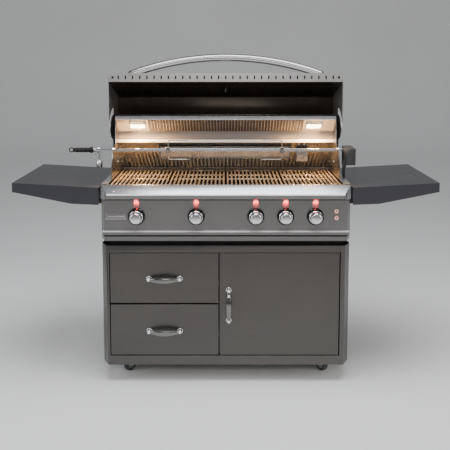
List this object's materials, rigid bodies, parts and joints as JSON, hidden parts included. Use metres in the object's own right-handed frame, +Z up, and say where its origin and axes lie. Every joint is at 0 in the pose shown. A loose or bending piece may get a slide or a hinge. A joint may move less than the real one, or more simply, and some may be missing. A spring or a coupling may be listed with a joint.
{
  "type": "gas barbecue grill",
  "caption": "Freestanding stainless gas barbecue with lifting hood, rotisserie spit, side shelves, drawers, cabinet door and swivel casters.",
  "frame": {"origin": "on the floor under the middle of the grill", "axes": "+X to the right across the width, +Y from front to back, +Z up"},
  "size_m": [1.958, 0.6215, 1.5389],
  "materials": {
    "black_plastic": "moulded",
    "brass": "machined",
    "brushed_steel": "brushed stainless sheet",
    "button": "backlit",
    "ceramic": "fired tile in steel case",
    "grate_steel": "round stainless bar",
    "led": "clear red",
    "lens": "frosted",
    "plate": "blank satin plate",
    "polished_steel": "polished",
    "warm_steel": "heat-tinted brushed stainless",
    "wheel_rubber": "satin",
    "zinc": "zinc plated"
  },
  "bodies": {
    "cart": {"cart_face_frame": "brushed_steel", "cart_carcass": "brushed_steel", "drawer_rails": "zinc", "firebox": "brushed_steel", "front_rim": "brushed_steel", "control_panel": "brushed_steel", "badge_plate": "plate", "knob_bezels": "polished_steel", "gas_valves": "brass", "gas_manifold": "brass", "led_lights": "led", "main_burners": "warm_steel", "flame_tamers": "warm_steel", "rear_canopy": "warm_steel", "rear_burner": "ceramic", "lamp_lenses": "lens", "spit_motor": "brushed_steel", "rear_caster_forks": "zinc"},
    "hood": {"hood_shell": "brushed_steel", "hood_liner": "warm_steel", "hood_handle": "polished_steel", "thermometer": "polished_steel"},
    "power_button": {"power_button": "button"},
    "light_button": {"light_button": "button"},
    "upper_drawer": {"upper_drawer": "brushed_steel", "upper_pull": "polished_steel"},
    "lower_drawer": {"lower_drawer": "brushed_steel", "lower_pull": "polished_steel"},
    "door": {"door": "brushed_steel", "door_pull": "polished_steel"},
    "shelf_left": {"shelf_left": "brushed_steel"},
    "shelf_right": {"shelf_right": "brushed_steel"},
    "spit": {"spit_rod": "polished_steel", "spit_grip": "black_plastic", "counterweight": "polished_steel"},
    "spit_fork_left": {"spit_fork_left": "polished_steel"},
    "spit_fork_right": {"spit_fork_right": "polished_steel"},
    "drip_tray": {"drip_tray": "warm_steel"},
    "stem_1": {"stem_1": "brass"},
    "knob_1": {"knob_1": "polished_steel"},
    "stem_2": {"stem_2": "brass"},
    "knob_2": {"knob_2": "polished_steel"},
    "stem_3": {"stem_3": "brass"},
    "knob_3": {"knob_3": "polished_steel"},
    "stem_4": {"stem_4": "brass"},
    "knob_4": {"knob_4": "polished_steel"},
    "stem_5": {"stem_5": "brass"},
    "knob_5": {"knob_5": "polished_steel"},
    "grate_1": {"grate_1": "grate_steel"},
    "grate_2": {"grate_2": "grate_steel"},
    "grate_3": {"grate_3": "grate_steel"},
    "grate_4": {"grate_4": "grate_steel"},
    "caster_left": {"caster_fork_left": "zinc"},
    "front_wheel_left": {"front_wheel_left": "wheel_rubber"},
    "brake_left": {"brake_left": "zinc"},
    "rear_wheel_left": {"rear_wheel_left": "wheel_rubber"},
    "caster_right": {"caster_fork_right": "zinc"},
    "front_wheel_right": {"front_wheel_right": "wheel_rubber"},
    "brake_right": {"brake_right": "zinc"},
    "rear_wheel_right": {"rear_wheel_right": "wheel_rubber"}
  },
  "joints": [
    {"name": "hood_hinge", "type": "hinge", "parent": "cart", "child": "hood", "pos_m": [0, 0.132, 1.088], "axis": [1, 0, 0], "range_deg": [0, 90]},
    {"name": "knob_1_turn", "type": "hinge", "parent": "cart", "child": "stem_1", "pos_m": [-0.41, -0.26, 0.794], "axis": [0, -1, 0], "range_deg": [0, 240]},
    {"name": "knob_1_push", "type": "slide", "parent": "stem_1", "child": "knob_1", "axis": [0, 1, 0], "range_m": [0, 0.004], "stiffness_N_per_m": 1500},
    {"name": "knob_2_turn", "type": "hinge", "parent": "cart", "child": "stem_2", "pos_m": [-0.136, -0.26, 0.794], "axis": [0, -1, 0], "range_deg": [0, 240]},
    {"name": "knob_2_push", "type": "slide", "parent": "stem_2", "child": "knob_2", "axis": [0, 1, 0], "range_m": [0, 0.004], "stiffness_N_per_m": 1500},
    {"name": "knob_3_turn", "type": "hinge", "parent": "cart", "child": "stem_3", "pos_m": [0.138, -0.26, 0.794], "axis": [0, -1, 0], "range_deg": [0, 240]},
    {"name": "knob_3_push", "type": "slide", "parent": "stem_3", "child": "knob_3", "axis": [0, 1, 0], "range_m": [0, 0.004], "stiffness_N_per_m": 1500},
    {"name": "knob_4_turn", "type": "hinge", "parent": "cart", "child": "stem_4", "pos_m": [0.275, -0.26, 0.794], "axis": [0, -1, 0], "range_deg": [0, 240]},
    {"name": "knob_4_push", "type": "slide", "parent": "stem_4", "child": "knob_4", "axis": [0, 1, 0], "range_m": [0, 0.004], "stiffness_N_per_m": 1500},
    {"name": "knob_5_turn", "type": "hinge", "parent": "cart", "child": "stem_5", "pos_m": [0.412, -0.26, 0.794], "axis": [0, -1, 0], "range_deg": [0, 240]},
    {"name": "knob_5_push", "type": "slide", "parent": "stem_5", "child": "knob_5", "axis": [0, 1, 0], "range_m": [0, 0.004], "stiffness_N_per_m": 1500},
    {"name": "power_button_push", "type": "slide", "parent": "cart", "child": "power_button", "axis": [0, 1, 0], "range_m": [0, 0.003], "stiffness_N_per_m": 600},
    {"name": "light_button_push", "type": "slide", "parent": "cart", "child": "light_button", "axis": [0, 1, 0], "range_m": [0, 0.003], "stiffness_N_per_m": 600},
    {"name": "upper_drawer_slide", "type": "slide", "parent": "cart", "child": "upper_drawer", "axis": [0, -1, 0], "range_m": [0, 0.4]},
    {"name": "lower_drawer_slide", "type": "slide", "parent": "cart", "child": "lower_drawer", "axis": [0, -1, 0], "range_m": [0, 0.4]},
    {"name": "door_hinge", "type": "hinge", "parent": "cart", "child": "door", "pos_m": [0.521, -0.251, 0.377], "axis": [0, 0, 1], "range_deg": [0, 105]},
    {"name": "shelf_right_fold", "type": "hinge", "parent": "cart", "child": "shelf_right", "pos_m": [0.597, 0.04, 0.845], "axis": [0, 1, 0], "range_deg": [0, 88]},
    {"name": "shelf_left_fold", "type": "hinge", "parent": "cart", "child": "shelf_left", "pos_m": [-0.597, 0.04, 0.845], "axis": [0, -1, 0], "range_deg": [0, 88]},
    {"name": "spit_spin", "type": "hinge", "parent": "cart", "child": "spit", "pos_m": [0, -0.03, 1.072], "axis": [1, 0, 0], "continuous": true},
    {"name": "spit_fork_left_slide", "type": "slide", "parent": "spit", "child": "spit_fork_left", "axis": [1, 0, 0], "range_m": [-0.12, 0.12]},
    {"name": "spit_fork_right_slide", "type": "slide", "parent": "spit", "child": "spit_fork_right", "axis": [1, 0, 0], "range_m": [-0.12, 0.12]},
    {"name": "drip_tray_slide", "type": "slide", "parent": "cart", "child": "drip_tray", "axis": [0, 1, 0], "range_m": [0, 0.3]},
    {"name": "grate_1_lift", "type": "slide", "parent": "cart", "child": "grate_1", "axis": [0, 0, 1], "range_m": [0, 0.012]},
    {"name": "grate_2_lift", "type": "slide", "parent": "cart", "child": "grate_2", "axis": [0, 0, 1], "range_m": [0, 0.012]},
    {"name": "grate_3_lift", "type": "slide", "parent": "cart", "child": "grate_3", "axis": [0, 0, 1], "range_m": [0, 0.012]},
    {"name": "grate_4_lift", "type": "slide", "parent": "cart", "child": "grate_4", "axis": [0, 0, 1], "range_m": [0, 0.012]},
    {"name": "caster_left_swivel", "type": "hinge", "parent": "cart", "child": "caster_left", "pos_m": [-0.48, -0.148, 0.098], "axis": [0, 0, 1], "continuous": true},
    {"name": "front_wheel_left_roll", "type": "hinge", "parent": "caster_left", "child": "front_wheel_left", "pos_m": [-0.467, -0.12548, 0.039], "axis": [-0.866, 0.5, 0], "continuous": true},
    {"name": "brake_left_press", "type": "hinge", "parent": "caster_left", "child": "brake_left", "pos_m": [-0.454, -0.10297, 0.078], "axis": [-0.866, 0.5, 0], "range_deg": [0, 18]},
    {"name": "rear_wheel_left_roll", "type": "hinge", "parent": "cart", "child": "rear_wheel_left", "pos_m": [-0.48, 0.234, 0.039], "axis": [1, 0, 0], "continuous": true},
    {"name": "caster_right_swivel", "type": "hinge", "parent": "cart", "child": "caster_right", "pos_m": [0.48, -0.148, 0.098], "axis": [0, 0, 1], "continuous": true},
    {"name": "front_wheel_right_roll", "type": "hinge", "parent": "caster_right", "child": "front_wheel_right", "pos_m": [0.467, -0.12548, 0.039], "axis": [-0.866, -0.5, 0], "continuous": true},
    {"name": "brake_right_press", "type": "hinge", "parent": "caster_right", "child": "brake_right", "pos_m": [0.454, -0.10297, 0.078], "axis": [-0.866, -0.5, 0], "range_deg": [0, 18]},
    {"name": "rear_wheel_right_roll", "type": "hinge", "parent": "cart", "child": "rear_wheel_right", "pos_m": [0.48, 0.234, 0.039], "axis": [1, 0, 0], "continuous": true}
  ]
}
